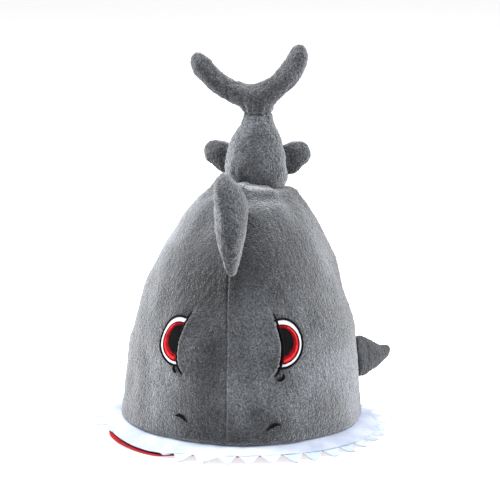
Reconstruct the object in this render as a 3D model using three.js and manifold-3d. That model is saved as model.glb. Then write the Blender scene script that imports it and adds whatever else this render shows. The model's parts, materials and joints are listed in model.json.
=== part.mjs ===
// Plush shark hat: a padded dome worn on the head, open underneath through the shark's mouth.
// Millimetres, +Z up, the shark's face and dorsal fin towards -Y. The part stands on its mouth.
import * as THREE from "three";
import { mergeVertices } from "three/addons/utils/BufferGeometryUtils.js";
import Module from "manifold-3d";

const wasm = await Module();
wasm.setup();

// Overall dome
const DOME_R = 121; // half width of the plush cover at the rim
const DOME_H = 254.5; // height of the crown above the floor
const DOME_DEPTH = 1.0; // front-to-back size over width
const DOME_POWER = 0.91; // roundness: 1 is a half ellipsoid, less is fuller at the shoulders
const LEAN = 11.5; // sideways slump of the soft crown
const LEAN_POWER = 1.5;
const RIM_Z = 14; // lower edge of the plush cover
const AROUND = 36; // facets round the dome
const UP = 11; // facets from floor to crown

// Cloth and wadding
const GAP = 0.3; // clearance between neighbouring pieces
const PLUSH = 2.4; // pile fabric
const WADDING = 10.6;
const SATIN = 1.2; // lining cloth
const FELT = 1.0; // one layer of the brim
const THREAD = 0.8; // raised embroidery

// Brim: lip, strip of teeth and the red facing under them
const LIP_OUT = 16; // the lip beyond the rim
const TEETH = 40;
const TOOTH_LENGTH = 10.5;
const FACING_INSET = 0.5; // the red facing stops this far inside the lip
const TUCK_AT = -44; // degrees round from the face, towards -X: here the teeth are tucked under
const TUCK_SPAN = 21;
const TUCK_DEPTH = 9; // how much shorter the tucked strip is
const TUCK_PEEK = 6.5; // how far the facing slips out there
const OVERLAP_AT = -6.5; // degrees: one end of the strip lies over the other
const OVERLAP_TEETH = 1;

// Eyes, nostrils and brow creases, as angles from the face seam
const EYE_AT = 28.6;
const EYE_Z = 110;
const EYE_R = 24.5;
const EYE_CUT = -5; // inner edge of the eye, where the brow crease hides it
const CREASE_WIDE = 2;
const NOSTRIL_AT = 21.7;
const NOSTRIL_Z = 35;
const NOSTRIL_R = 7;

// Tail
const TAIL_SHIFT = 4.5; // the stalk's middle, past the top of the crown
const TAIL_Y = 2;
const TAIL_SINK = 10; // depth of the dimple in the crown that the stalk's root sits in
const STALK_WIDE = 31; // half width of the stalk's root
const STALK_DEEP = 22;
const NECK_WIDE = 15;
const NECK_DEEP = 12.5;
const NECK_RISE = 54; // neck above the tail hinge
const CUP_DROP = 4; // the stalk's cup ends this far under the neck
const STALK_STATIONS = [
  // share of the height of the stalk, share of the way from the root's size to the neck's
  [0, 0],
  [0.28, 0.12],
  [0.56, 0.44],
  [0.76, 0.77],
  [1, 0.9],
];
const CUP_WALL = 1.2; // least thickness left round the neck
const LOBE_SPINE = [
  // tail fin centre line from the left tip to the right tip, seen from the front: across, above the neck
  [-58, 61],
  [-53.5, 46],
  [-40, 30],
  [-20, 19.5],
  [0, 17],
  [15, 22],
  [29, 35],
  [38, 51],
  [42, 69],
];
const LOBE_HALF = 14;
const LOBE_DEPTH = 12;
const LOBE_TIP = 0.45; // size of the tips over the middle

// Fins: length, root chord, half thickness
const DORSAL = { length: 50, tip: 26, sweep: 46, half: 16, rootHalf: 3.6 };
const PECTORAL = { length: 62, root: 42, tip: 9, sweep: -5, half: 8, rootHalf: 3.6 };
const PELVIC = { length: 28, root: 35, tip: 22, sweep: 5, half: 6.5, rootHalf: 3.6 };
const ROOT_STANDOFF = 4.4; // hinge line above the surface the fin is sewn to
const PECTORAL_AT = 104; // degrees round from the face
const PECTORAL_Z = 67;
const PECTORAL_LIFT = { left: 8, right: 37 }; // degrees off the surface at rest
const PELVIC_SPREAD = 18; // degrees swept back
const PELVIC_TUCK = 3; // hinge line inside the stalk's widest part
const PELVIC_FROM_BACK = 8; // hinge line in from the back of the stalk
const PELVIC_RISE = 9;
const DORSAL_FOOT_DROP = 85; // ends of the root seam, down from the crown
const DORSAL_HEAD_DROP = 19;
const DORSAL_BULGE = 5; // the dome stands out this far past the straight line between them
const DORSAL_LEAN = 14; // degrees over towards -X
const DORSAL_AT = -4.5; // degrees round from the face

const rad = THREE.MathUtils.degToRad;
const vec = (x, y, z) => new THREE.Vector3(x, y, z);

// A closed solid from rings of points, with each end closed by a fan to its own tip.
function loft(rings, lowTip, highTip) {
  const count = rings[0].length;
  const points = [...rings.flat(), lowTip, highTip];
  const index = [];
  for (let i = 0; i + 1 < rings.length; i++)
    for (let j = 0; j < count; j++) {
      const k = (j + 1) % count;
      const [a, b, c, d] = [i * count + j, i * count + k, (i + 1) * count + k, (i + 1) * count + j];
      index.push(a, b, c, a, c, d);
    }
  const low = rings.length * count;
  const last = (rings.length - 1) * count;
  for (let j = 0; j < count; j++) {
    const k = (j + 1) % count;
    index.push(low, k, j, low + 1, last + j, last + k);
  }
  const geometry = new THREE.BufferGeometry().setFromPoints(points);
  geometry.setIndex(index);
  return geometry;
}

// A manifold solid that faces outwards.
function solid(source) {
  const geometry = source.clone();
  geometry.deleteAttribute("normal");
  geometry.deleteAttribute("uv");
  const merged = mergeVertices(geometry, 1e-4);
  const vertProperties = merged.attributes.position.array;
  const triVerts = new Uint32Array(merged.index.array);
  const made = new wasm.Manifold(new wasm.Mesh({ numProp: 3, vertProperties, triVerts }));
  if (made.volume() > 0) return made;
  for (let i = 0; i < triVerts.length; i += 3) {
    [triVerts[i + 1], triVerts[i + 2]] = [triVerts[i + 2], triVerts[i + 1]];
  }
  return new wasm.Manifold(new wasm.Mesh({ numProp: 3, vertProperties, triVerts }));
}

function geometryOf(made) {
  const mesh = made.getMesh();
  const positions = new Float32Array(mesh.numVert * 3);
  for (let i = 0; i < mesh.numVert; i++) {
    const from = i * mesh.numProp;
    positions.set(mesh.vertProperties.subarray(from, from + 3), i * 3);
  }
  const geometry = new THREE.BufferGeometry();
  geometry.setAttribute("position", new THREE.BufferAttribute(positions, 3));
  geometry.setIndex(new THREE.BufferAttribute(mesh.triVerts, 1));
  return geometry;
}

function box(low, high) {
  const geometry = new THREE.BoxGeometry(high.x - low.x, high.y - low.y, high.z - low.z);
  geometry.translate((low.x + high.x) / 2, (low.y + high.y) / 2, (low.z + high.z) / 2);
  return solid(geometry);
}

const FAR = 600;
const above = (z) => box(vec(-FAR, -FAR, z), vec(FAR, FAR, FAR));
const below = (z) => box(vec(-FAR, -FAR, -FAR), vec(FAR, FAR, z));
const leftHalf = () => box(vec(-FAR, -FAR, -FAR), vec(-GAP / 2, FAR, FAR));
const rightHalf = () => box(vec(GAP / 2, -FAR, -FAR), vec(FAR, FAR, FAR));

function ellipsoid(half, centre, across = 18, up = 10) {
  const geometry = new THREE.SphereGeometry(1, across, up);
  geometry.scale(half[0], half[1], half[2]);
  geometry.translate(centre.x, centre.y, centre.z);
  return solid(geometry);
}

// The dome, and the same dome drawn in by a depth. All use the same stations, so their facets stay parallel.
const leanAt = (z) => LEAN * Math.max(0, z / DOME_H) ** LEAN_POWER;
const LOWEST = -0.12; // first station, a little under the floor

function domePoint(angle, station, depth) {
  const wide = (DOME_R - depth) * Math.cos(station) ** DOME_POWER;
  return vec(
    wide * Math.sin(angle),
    -wide * DOME_DEPTH * Math.cos(angle),
    (DOME_H - depth) * Math.sin(station),
  );
}

function dome(depth) {
  const rings = [];
  for (let i = 0; i < UP; i++) {
    const station = LOWEST + (Math.PI / 2 - LOWEST) * (i / UP) ** 0.92;
    const ring = [];
    for (let j = 0; j < AROUND; j++) {
      ring.push(domePoint((2 * Math.PI * (j + 0.5)) / AROUND, station, depth));
    }
    rings.push(ring);
  }
  const floor = rings[0][0].z;
  return solid(loft(rings, vec(0, 0, floor), vec(0, 0, DOME_H - depth)));
}

// A point on the leaning dome's cover, with the outward direction there.
function onDome(degrees, z) {
  const station = Math.asin(z / DOME_H);
  const at = domePoint(rad(degrees), station, 0);
  const up = domePoint(rad(degrees), station + 0.01, 0).sub(domePoint(rad(degrees), station - 0.01, 0));
  const round = domePoint(rad(degrees + 1), station, 0).sub(domePoint(rad(degrees - 1), station, 0));
  const out = round.cross(up).normalize();
  at.x += leanAt(z);
  return { at, out };
}

const leaned = (made) =>
  made.warp((p) => {
    p[0] += leanAt(p[2]);
  });

// Materials
const paint = (hex, roughness, metalness = 0) => ({ color: hex, roughness, metalness });
const GREY_PLUSH = paint(0x74787c, 0.95);
const DARK_PLUSH = paint(0x62656a, 0.95);
const WHITE_FELT = paint(0xe4e8ee, 0.8);
const RED_SATIN = paint(0xc01622, 0.7);
const WADDING_WHITE = paint(0xf2f2ee, 1);
const BLACK_THREAD = paint(0x101013, 0.45);
const WHITE_THREAD = paint(0xf4f4f4, 0.45);
const RED_THREAD = paint(0xc8202a, 0.45);
const PUPIL_THREAD = paint(0x232528, 0.45);

const shark = new THREE.Group();
shark.name = "plush_shark_hat";

function add(name, made, look) {
  const geometry = made.isBufferGeometry ? made : geometryOf(made);
  const mesh = new THREE.Mesh(geometry, new THREE.MeshStandardMaterial(look));
  mesh.name = name;
  shark.add(mesh);
  return mesh;
}

// Covers, wadding and lining of the dome
const TAIL = vec(leanAt(DOME_H) + TAIL_SHIFT, TAIL_Y, DOME_H + STALK_DEEP - TAIL_SINK);
const TAIL_HALF = [STALK_WIDE, STALK_DEEP, STALK_DEEP];
const tailRoot = (grow) => ellipsoid(TAIL_HALF.map((half) => half + grow), TAIL);
const shell = (outer, inner, z) => dome(outer).subtract(dome(inner)).intersect(above(z));
const tailHole = tailRoot(2 * GAP);
const cover = shell(0, PLUSH, RIM_Z);
add("body_panel_left", leaned(cover.intersect(leftHalf())).subtract(tailHole), GREY_PLUSH);
add("body_panel_right", leaned(cover.intersect(rightHalf())).subtract(tailHole), GREY_PLUSH);

const BRIM_TOP = 2 * FELT + 2 * GAP;
const PAD_OUT = PLUSH + GAP;
const PAD_IN = PAD_OUT + WADDING;
add("body_wadding", leaned(shell(PAD_OUT, PAD_IN, BRIM_TOP)).subtract(tailHole), WADDING_WHITE);
const LINING_OUT = PAD_IN + GAP;
const LINING_IN = LINING_OUT + SATIN;
add("mouth_lining", leaned(shell(LINING_OUT, LINING_IN, FELT + GAP)), RED_SATIN);

// Brim. Each layer is a flat ring, drawn round the floor and extruded up.
function flatRing(outline, z, thick, hole) {
  const shape = new THREE.Shape(outline);
  if (hole) {
    const inner = new THREE.Path();
    inner.absellipse(0, 0, hole, hole * DOME_DEPTH, 0, 2 * Math.PI, false);
    shape.holes.push(inner);
  }
  const geometry = new THREE.ExtrudeGeometry(shape, {
    depth: thick,
    bevelEnabled: false,
    curveSegments: AROUND,
  });
  geometry.translate(0, 0, z);
  return solid(geometry);
}

const LIP_R = DOME_R + LIP_OUT;
const FACING_R = LIP_R - FACING_INSET;
const BRIM_R = LIP_R + TOOTH_LENGTH; // tooth tips
const around = (radius, degrees) =>
  new THREE.Vector2(radius * Math.sin(rad(degrees)), -radius * Math.cos(rad(degrees)));
const tuckAt = (degrees) => Math.exp(-(((degrees - TUCK_AT) / TUCK_SPAN) ** 6));

const facingOutline = [];
for (let degrees = -180; degrees < 180; degrees += 5) {
  facingOutline.push(around(FACING_R + TUCK_PEEK * tuckAt(degrees), degrees));
}
const halfTooth = 180 / TEETH;
const teethOutline = [];
for (let i = -TEETH; i < TEETH; i++) {
  const degrees = i * halfTooth;
  const tucked = i % 2 ? 0 : TUCK_DEPTH * tuckAt(degrees);
  teethOutline.push(around(i % 2 ? BRIM_R - TOOTH_LENGTH : BRIM_R - tucked, degrees));
}
const HOLE_R = DOME_R - PAD_IN + 1;
add("brim_facing", flatRing(facingOutline, 0, FELT, HOLE_R), RED_SATIN);
add("teeth_strip", flatRing(teethOutline, FELT + GAP, FELT, DOME_R - 2), WHITE_FELT);

// The strip's other end: a few teeth of the same size, lying on top of the first.
function stripEnd(grow) {
  const half = OVERLAP_TEETH * halfTooth;
  const outline = [around(DOME_R + 7 - grow, OVERLAP_AT - half - grow / 2)];
  for (let i = 0; i <= 2 * OVERLAP_TEETH; i++) {
    const reach = i % 2 ? BRIM_R - 0.6 : BRIM_R - TOOTH_LENGTH + 1;
    outline.push(around(reach + grow, OVERLAP_AT - half - grow / 2 + i * (halfTooth + grow / 2)));
  }
  outline.push(around(DOME_R + 7 - grow, OVERLAP_AT + half + grow / 2));
  return flatRing(outline, BRIM_TOP - grow, FELT + 2 * grow);
}
add("teeth_strip_end", stripEnd(0), WHITE_FELT);

function lip() {
  const inner = DOME_R - PLUSH;
  const top = RIM_Z - GAP;
  const profile = [
    [inner, BRIM_TOP],
    [LIP_R - 1.5, BRIM_TOP],
    [LIP_R, BRIM_TOP + 1.6],
    [LIP_R - 2.5, BRIM_TOP + 4],
    [DOME_R + 5, top - 2.6],
    [DOME_R, top],
    [inner, top],
  ];
  const geometry = new THREE.LatheGeometry(
    [...profile, profile[0]].map(([r, z]) => new THREE.Vector2(r, z)),
    AROUND,
    Math.PI / AROUND,
  );
  geometry.rotateX(Math.PI / 2);
  geometry.scale(1, DOME_DEPTH, 1);
  return solid(geometry);
}
add("lip_band", lip().subtract(stripEnd(GAP)), WHITE_FELT);

// Embroidery: a layer just off the cover, cut to an outline drawn on the surface.
const threadLayer = dome(-GAP - THREAD).subtract(dome(-GAP));

function embroidered(degrees, z, outline, hole) {
  const { at, out } = onDome(degrees, z);
  at.x -= leanAt(z);
  out.z = 0;
  out.normalize();
  const shape = new THREE.Shape(outline.map(([u, v]) => new THREE.Vector2(u, v)));
  if (hole) shape.holes.push(new THREE.Path(hole.map(([u, v]) => new THREE.Vector2(u, v))));
  const geometry = new THREE.ExtrudeGeometry(shape, { depth: 80, bevelEnabled: false });
  geometry.translate(0, 0, -50);
  const across = vec(0, 0, 1).cross(out);
  const frame = new THREE.Matrix4().makeBasis(across, vec(0, 0, 1), out);
  geometry.applyMatrix4(frame.setPosition(at));
  return leaned(threadLayer.intersect(solid(geometry)));
}

// A half moon: a round eye of radius r, with the part beyond the crease cut off.
function halfMoon(r, side) {
  const outline = [];
  const steps = 14;
  const cut = Math.acos(Math.max(-1, EYE_CUT / r - 0.12));
  for (let i = 0; i <= steps; i++) {
    const angle = -cut + (2 * cut * i) / steps;
    outline.push([side * (r * 0.98 * Math.cos(angle)), r * Math.sin(angle)]);
  }
  return outline;
}

function eyeBand(side, outer, inner) {
  const whole = embroidered(side * EYE_AT, EYE_Z, halfMoon(outer, side));
  return inner ? whole.subtract(embroideryCutter(side, inner)) : whole;
}

// The next layer in, cut right through so that it also opens the band at the crease.
function embroideryCutter(side, r) {
  const { at, out } = onDome(side * EYE_AT, EYE_Z);
  at.x -= leanAt(EYE_Z);
  out.z = 0;
  out.normalize();
  const outline = halfMoon(r + GAP, side).map(([u, v]) => new THREE.Vector2(u, v));
  const reach = side * -3 * EYE_R;
  const shape = new THREE.Shape([
    ...outline,
    new THREE.Vector2(reach, outline.at(-1).y),
    new THREE.Vector2(reach, outline[0].y),
  ]);
  const geometry = new THREE.ExtrudeGeometry(shape, { depth: 80, bevelEnabled: false });
  geometry.translate(0, 0, -50);
  const across = vec(0, 0, 1).cross(out);
  geometry.applyMatrix4(new THREE.Matrix4().makeBasis(across, vec(0, 0, 1), out).setPosition(at));
  return leaned(solid(geometry));
}

// A stitched line of even width along points on the surface.
function stitchLine(points, wide) {
  const curve = new THREE.CatmullRomCurve3(points.map(([u, v]) => vec(u, v, 0)));
  const steps = 12;
  const near = [];
  const far = [];
  for (let i = 0; i <= steps; i++) {
    const p = curve.getPoint(i / steps);
    const t = curve.getTangent(i / steps);
    near.push([p.x - (t.y * wide) / 2, p.y + (t.x * wide) / 2]);
    far.unshift([p.x + (t.y * wide) / 2, p.y - (t.x * wide) / 2]);
  }
  return [...near, ...far];
}

const BANDS = [
  ["outline", 1, 0.925, BLACK_THREAD],
  ["white", 0.925, 0.81, WHITE_THREAD],
  ["iris", 0.81, 0.47, RED_THREAD],
  ["pupil", 0.47, 0, PUPIL_THREAD],
];
for (const [sideName, side] of [["left", -1], ["right", 1]]) {
  for (const [band, outer, inner, look] of BANDS) {
    add(`eye_${band}_${sideName}`, eyeBand(side, EYE_R * outer, EYE_R * inner), look);
  }
  const cut = halfMoon(EYE_R, 1)[0][0] - CREASE_WIDE / 2 - 2 * GAP;
  const crease = [
    [-3.5, 29],
    [-1, 14],
    [0, 0],
    [-0.5, -14],
    [-3.5, -27],
    [-7.5, -30],
  ].map(([u, v]) => [side * (cut + u), v]);
  add(
    `brow_crease_${sideName}`,
    embroidered(side * EYE_AT, EYE_Z, stitchLine(crease, CREASE_WIDE)),
    BLACK_THREAD,
  );
  const curve = [
    [-NOSTRIL_R, -1.5],
    [-2, 2],
    [3, 2.2],
    [NOSTRIL_R, -2.5],
  ].map(([u, v]) => [side * u, v]);
  add(
    `nostril_${sideName}`,
    embroidered(side * NOSTRIL_AT, NOSTRIL_Z, stitchLine(curve, 2.8)),
    BLACK_THREAD,
  );
}

// Fins. A fin runs out along `out` from a hinge line along `chord`; its thickness is across both.
function finRings(spec, inset) {
  const sections = 7;
  const sides = 12;
  const rings = [];
  const start = -3 + inset;
  const end = spec.length - inset;
  for (let i = 0; i <= sections; i++) {
    const t = 0.5 - 0.5 * Math.cos((Math.PI * i) / sections);
    const along = start + (end - start) * t;
    const share = THREE.MathUtils.clamp(along / spec.length, 0, 1);
    const halfChord = THREE.MathUtils.lerp(spec.root, spec.tip, share ** 0.85) / 2;
    const rounding = Math.sqrt(Math.max(0.02, 1 - Math.max(0, (share - 0.72) / 0.3) ** 2));
    const swell = spec.half * Math.sin(Math.PI * Math.min(1, 0.16 + 0.84 * share)) ** 0.8;
    const rootGrow = THREE.MathUtils.smoothstep(along, -3, 0.45 * spec.length);
    const halfThick = THREE.MathUtils.lerp(spec.rootHalf * (along < -1 ? 0.6 : 1), swell, rootGrow);
    const a = Math.max(0.8, halfChord * rounding - inset);
    const b = Math.max(0.6, halfThick * (0.35 + 0.65 * rounding) - inset);
    const centre = spec.sweep * share ** 1.4;
    const ring = [];
    for (let j = 0; j < sides; j++) {
      const angle = (2 * Math.PI * j) / sides;
      ring.push(vec(centre + a * Math.cos(angle), b * Math.sin(angle), along));
    }
    rings.push(ring);
  }
  return rings;
}

function finSolid(spec, inset) {
  const rings = finRings(spec, inset);
  const tip = (ring) => ring.reduce((sum, p) => sum.add(p), vec(0, 0, 0)).divideScalar(ring.length);
  return solid(loft(rings, tip(rings[0]), tip(rings.at(-1))));
}

const hinges = {};

// Two cover panels, sewn round the edge, and their filling, placed at the hinge.
function addFin(name, spec, at, chord, out, look, panels) {
  const across = out.clone().cross(chord).normalize();
  const frame = new THREE.Matrix4().makeBasis(chord, across, out).setPosition(at);
  const skin = finSolid(spec, 0).subtract(finSolid(spec, PLUSH));
  const near = box(vec(-FAR, GAP / 2, -FAR), vec(FAR, FAR, FAR));
  const far = box(vec(-FAR, -FAR, -FAR), vec(FAR, -GAP / 2, FAR));
  const pieces = [
    [`${name}_${panels[0]}`, skin.intersect(near), look],
    [`${name}_${panels[1]}`, skin.intersect(far), look],
    [`${name}_filling`, finSolid(spec, PLUSH + GAP), WADDING_WHITE],
  ];
  for (const [piece, made, paintOf] of pieces) {
    add(piece, geometryOf(made).applyMatrix4(frame), paintOf);
  }
  hinges[name] = { at, axis: chord };
}

// Dorsal fin, along the face seam high on the dome
const foot = onDome(DORSAL_AT, DOME_H - DORSAL_FOOT_DROP);
const head = onDome(DORSAL_AT, DOME_H - DORSAL_HEAD_DROP);
const footAt = foot.at.clone().addScaledVector(foot.out, ROOT_STANDOFF + DORSAL_BULGE);
const headAt = head.at.clone().addScaledVector(head.out, ROOT_STANDOFF + DORSAL_BULGE);
const dorsalChord = headAt.clone().sub(footAt).normalize();
const dorsalOut = foot.out.clone().add(head.out);
dorsalOut.addScaledVector(dorsalChord, -dorsalOut.dot(dorsalChord)).normalize();
dorsalOut.applyAxisAngle(dorsalChord, -rad(DORSAL_LEAN));
addFin(
  "dorsal_fin",
  { ...DORSAL, root: footAt.distanceTo(headAt) },
  footAt.clone().lerp(headAt, 0.5),
  dorsalChord,
  dorsalOut,
  DARK_PLUSH,
  ["panel_left", "panel_right"],
);

// Pectoral fins, low on the sides, swept back. The left one lies folded against the body.
for (const [sideName, side] of [["left", -1], ["right", 1]]) {
  const low = onDome(side * PECTORAL_AT, PECTORAL_Z - PECTORAL.root / 2);
  const high = onDome(side * PECTORAL_AT, PECTORAL_Z + PECTORAL.root / 2);
  const from = low.at.clone().addScaledVector(low.out, ROOT_STANDOFF + 0.8);
  const to = high.at.clone().addScaledVector(high.out, ROOT_STANDOFF + 0.8);
  const chord = to.clone().sub(from).normalize();
  const back = chord.clone().cross(low.out).normalize().multiplyScalar(side);
  const out = back.applyAxisAngle(chord, -side * rad(PECTORAL_LIFT[sideName]));
  addFin(
    `pectoral_${sideName}`,
    PECTORAL,
    from.clone().lerp(to, 0.5),
    chord,
    out,
    DARK_PLUSH,
    ["panel_top", "panel_under"],
  );
}

// Tail stalk
function stalkBody(inset) {
  const sides = 18;
  const height = NECK_RISE - CUP_DROP - inset;
  const rings = STALK_STATIONS.map(([rise, share]) => {
    const wide = THREE.MathUtils.lerp(STALK_WIDE, NECK_WIDE + CUP_WALL - 1, share);
    const deep = THREE.MathUtils.lerp(STALK_DEEP, NECK_DEEP + CUP_WALL, share);
    const ring = [];
    for (let j = 0; j < sides; j++) {
      const angle = (2 * Math.PI * (j + 0.5)) / sides;
      const [x, y] = [(wide - inset) * Math.cos(angle), (deep - inset) * Math.sin(angle)];
      ring.push(TAIL.clone().add(vec(x, y, rise * height)));
    }
    return ring;
  });
  const highTip = TAIL.clone().add(vec(0, 0, height));
  const root = ellipsoid(TAIL_HALF.map((size) => size - inset), TAIL);
  return root.add(solid(loft(rings, TAIL, highTip)));
}

const NECK = TAIL.clone().add(vec(0, 0, NECK_RISE));
const NECK_HALF = [NECK_WIDE, NECK_DEEP, NECK_WIDE];
const neck = (grow) => ellipsoid(NECK_HALF.map((half) => half + grow), NECK);
const frontOf = (y) => box(vec(-FAR, -FAR, -FAR), vec(FAR, y - GAP / 2, FAR));
const backOf = (y) => box(vec(-FAR, y + GAP / 2, -FAR), vec(FAR, FAR, FAR));
const stalkSkin = stalkBody(0).subtract(stalkBody(PLUSH)).subtract(neck(2 * GAP));
add("tail_stalk_panel_front", stalkSkin.intersect(frontOf(TAIL.y)), GREY_PLUSH);
add("tail_stalk_panel_back", stalkSkin.intersect(backOf(TAIL.y)), GREY_PLUSH);
add(
  "tail_stalk_filling",
  stalkBody(PLUSH + GAP).subtract(neck(PLUSH + GAP)),
  WADDING_WHITE,
);
hinges.tail_stalk = { at: TAIL, axis: vec(1, 0, 0) };

// Tail fin: a crescent on a rounded neck
function crescent(inset) {
  const spine = new THREE.CatmullRomCurve3(
    LOBE_SPINE.map(([x, z]) => vec(NECK.x + x, NECK.y, NECK.z + z)),
  );
  const sections = 18;
  const sides = 12;
  const length = spine.getLength();
  const rings = [];
  for (let i = 0; i <= sections; i++) {
    const share = 0.5 - 0.5 * Math.cos((Math.PI * i) / sections);
    const t = THREE.MathUtils.lerp(inset / length, 1 - inset / length, share);
    const at = spine.getPointAt(t);
    const run = spine.getTangentAt(t);
    const side = run.clone().cross(vec(0, 1, 0)).normalize();
    const end = Math.abs(2 * t - 1);
    const size = THREE.MathUtils.lerp(1, LOBE_TIP, end ** 3);
    const rounding = Math.sqrt(Math.max(0.03, 1 - Math.max(0, (end - 0.84) / 0.16) ** 2));
    const a = Math.max(0.8, LOBE_HALF * Math.max(size, 0.84) * rounding - inset);
    const b = Math.max(0.6, LOBE_DEPTH * size * (0.3 + 0.7 * rounding) - inset);
    const ring = [];
    for (let j = 0; j < sides; j++) {
      const angle = (2 * Math.PI * j) / sides;
      ring.push(
        at
          .clone()
          .addScaledVector(side, a * Math.cos(angle))
          .add(vec(0, b * Math.sin(angle), 0)),
      );
    }
    rings.push(ring);
  }
  const ends = [inset / length, 1 - inset / length].map((t) => spine.getPointAt(t));
  return solid(loft(rings, ends[0], ends[1]));
}

const tailFin = (inset) => crescent(inset).add(neck(-inset));
const tailSkin = tailFin(0).subtract(tailFin(PLUSH));
add("tail_fin_panel_front", tailSkin.intersect(frontOf(NECK.y)), DARK_PLUSH);
add("tail_fin_panel_back", tailSkin.intersect(backOf(NECK.y)), DARK_PLUSH);
add("tail_fin_filling", tailFin(PLUSH + GAP), WADDING_WHITE);
hinges.tail_fin = { at: NECK, axis: vec(0, 1, 0) };

// Pelvic fins, on the back of the stalk's sides
for (const [sideName, side] of [["left", -1], ["right", 1]]) {
  const at = TAIL.clone();
  at.add(vec(side * (STALK_WIDE - PELVIC_TUCK), STALK_DEEP - PELVIC_FROM_BACK, PELVIC_RISE));
  const chord = vec(-side * 0.12, 0, 1).normalize();
  const out = vec(side * Math.cos(rad(PELVIC_SPREAD)), Math.sin(rad(PELVIC_SPREAD)), 0);
  out.addScaledVector(chord, -out.dot(chord)).normalize();
  addFin(`pelvic_${sideName}`, PELVIC, at, chord, out, DARK_PLUSH, ["panel_front", "panel_back"]);
}

// The part stands on the middle of its own footprint.
const bounds = new THREE.Box3().setFromObject(shark);
const middle = bounds.getCenter(vec(0, 0, 0));
shark.position.set(-middle.x, -middle.y, -bounds.min.z);
shark.userData.hinges = hinges;

export default shark;
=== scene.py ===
"""A plush shark hat, standing on its open mouth: pile fabric, stuffed fins, felt teeth and embroidery.

All shapes are worked out in millimetres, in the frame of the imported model, and stored in metres.
"""

import json
import math
from collections import namedtuple

import bpy
import numpy as np
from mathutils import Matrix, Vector


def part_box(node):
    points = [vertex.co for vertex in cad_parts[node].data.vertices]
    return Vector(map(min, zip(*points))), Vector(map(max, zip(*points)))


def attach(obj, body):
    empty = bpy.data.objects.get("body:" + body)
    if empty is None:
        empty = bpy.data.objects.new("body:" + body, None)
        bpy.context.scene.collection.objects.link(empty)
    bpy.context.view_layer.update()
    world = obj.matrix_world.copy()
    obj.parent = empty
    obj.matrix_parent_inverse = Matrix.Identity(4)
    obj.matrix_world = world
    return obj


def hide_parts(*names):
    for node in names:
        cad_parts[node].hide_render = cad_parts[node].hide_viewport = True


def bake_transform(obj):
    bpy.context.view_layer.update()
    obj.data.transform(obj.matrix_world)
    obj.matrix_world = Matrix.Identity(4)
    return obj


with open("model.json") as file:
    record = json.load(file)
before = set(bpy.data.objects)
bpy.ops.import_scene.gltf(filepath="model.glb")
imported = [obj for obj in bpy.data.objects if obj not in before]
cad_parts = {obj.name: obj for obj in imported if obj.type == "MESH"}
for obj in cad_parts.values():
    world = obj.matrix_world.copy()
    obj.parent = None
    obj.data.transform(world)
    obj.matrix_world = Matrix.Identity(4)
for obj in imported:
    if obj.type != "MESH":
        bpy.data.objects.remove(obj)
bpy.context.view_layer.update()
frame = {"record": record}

MM = 0.001
RNG = np.random.default_rng(7)
TAU = 2 * math.pi
SIDES = ((-1, "left"), (1, "right"))
JOINTS = {j["name"]: j for j in frame["record"]["behaviour"]["joints"]}


def box_mm(node):
    low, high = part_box(node)
    return np.array(low) / MM, np.array(high) / MM


def joint(name):
    found = JOINTS[name]
    return np.array(found["pos_m"]) / MM, np.array(found["axis"])


def smooth(x, a, b):
    t = np.clip((np.asarray(x, float) - a) / (b - a), 0, 1)
    return t * t * (3 - 2 * t)


def as_vector(v):
    return Vector([float(x) for x in v])


def unit(v):
    return v / np.maximum(np.linalg.norm(v, axis=-1, keepdims=True), 1e-9)


def waves(p, size, seed, count=14):
    """Smooth noise of about unit strength over points p, with features of about this size in mm."""
    rng = np.random.default_rng(seed)
    direction = unit(rng.normal(size=(count, 3)))
    k = direction * (TAU / (size * rng.uniform(0.7, 1.5, (count, 1))))
    phase = rng.uniform(0, TAU, count)
    return np.sin(p @ k.T + phase).sum(-1) * math.sqrt(2 / count) * 0.7


# ---------------------------------------------------------------- meshes


def new_object(name, verts, faces, material, smooth_angle=None):
    mesh = bpy.data.meshes.new(name)
    mesh.from_pydata((np.asarray(verts) * MM).tolist(), [], [list(map(int, f)) for f in faces])
    mesh.validate()
    mesh.polygons.foreach_set("use_smooth", [True] * len(mesh.polygons))
    if smooth_angle is not None:
        mesh.set_sharp_from_angle(angle=math.radians(smooth_angle))
    mesh.materials.append(material)
    mesh.update()
    obj = bpy.data.objects.new(name, mesh)
    bpy.context.scene.collection.objects.link(obj)
    return obj


def grid_faces(rows, cols, closed=False, flip=False):
    j = np.arange(cols if closed else cols - 1)
    i = np.arange(rows - 1)[:, None]
    k = (j + 1) % cols
    quads = np.stack([i * cols + j, i * cols + k, (i + 1) * cols + k, (i + 1) * cols + j], -1)
    quads = quads.reshape(-1, 4)
    return quads[:, ::-1] if flip else quads


def wrapped_faces(rows, cols, closed=True):
    """Faces of a grid whose last row joins its first."""
    return [[f % (rows * cols) for f in quad] for quad in grid_faces(rows + 1, cols, closed)]


def fan(ring, centre, flip=False):
    k = np.roll(ring, -1)
    tris = np.stack([ring, k, np.full(len(ring), centre)], -1)
    return tris[:, ::-1] if flip else tris


def loft(rings):
    """Vertices and faces of a closed solid through rings of the same number of points."""
    rings = np.asarray(rings)
    rows, cols = rings.shape[:2]
    verts = np.vstack([rings.reshape(-1, 3), rings[0].mean(0), rings[-1].mean(0)])
    first, last = np.arange(cols), np.arange(cols) + (rows - 1) * cols
    faces = [list(f) for f in grid_faces(rows, cols, closed=True)]
    faces += [list(f) for f in fan(first, rows * cols, flip=True)]
    faces += [list(f) for f in fan(last, rows * cols + 1)]
    return verts, faces


def join(solids):
    verts, faces, base = [], [], 0
    for v, f in solids:
        verts.append(v)
        faces += [[i + base for i in face] for face in f]
        base += len(v)
    return np.vstack(verts), faces


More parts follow.
